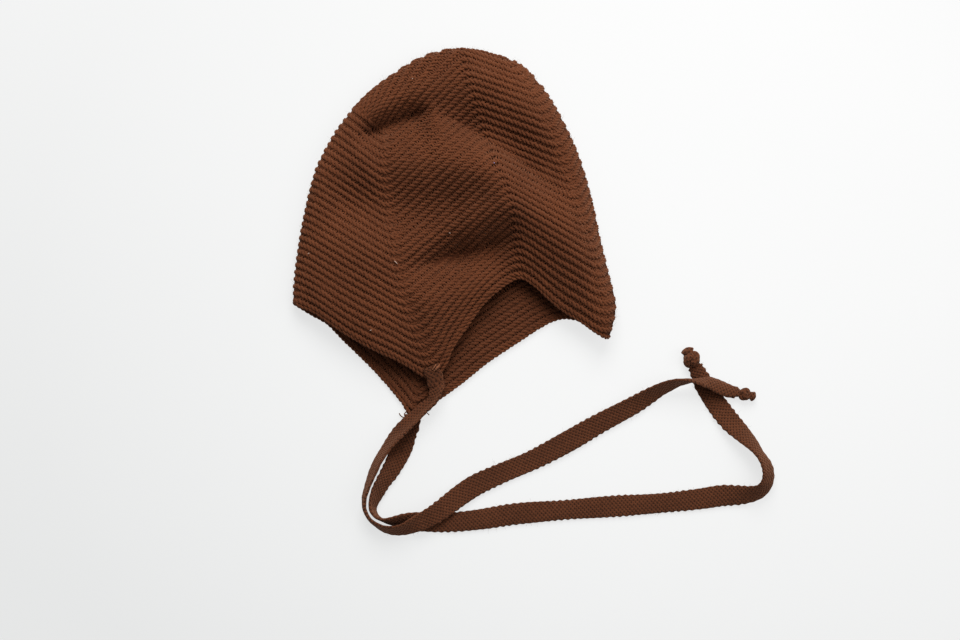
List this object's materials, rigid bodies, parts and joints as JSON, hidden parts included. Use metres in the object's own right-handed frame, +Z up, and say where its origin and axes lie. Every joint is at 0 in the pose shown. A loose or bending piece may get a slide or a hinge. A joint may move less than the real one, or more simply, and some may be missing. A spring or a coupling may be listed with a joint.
{
  "type": "baby bonnet",
  "caption": "Knitted baby bonnet with pointed ear flaps, a forehead point and flat tie bands that end in knots, lying folded on its side.",
  "frame": {"origin": "middle of the bonnet body's bounding box, on the surface that it lies on", "axes": "+X from the nape corner to the forehead side, +Y from the ear flaps to the crown, +Z up from the far layer to the near layer"},
  "size_m": [0.2694, 0.2725, 0.032],
  "materials": {
    "ridged_knit": "matt ridged cotton knit",
    "band_knit": "matt fine cotton knit"
  },
  "bodies": {
    "root": {"bonnet_body": "ridged_knit", "near_tie": "band_knit", "far_tie": "band_knit", "near_tie_knot": "band_knit", "far_tie_knot": "band_knit"}
  },
  "joints": []
}
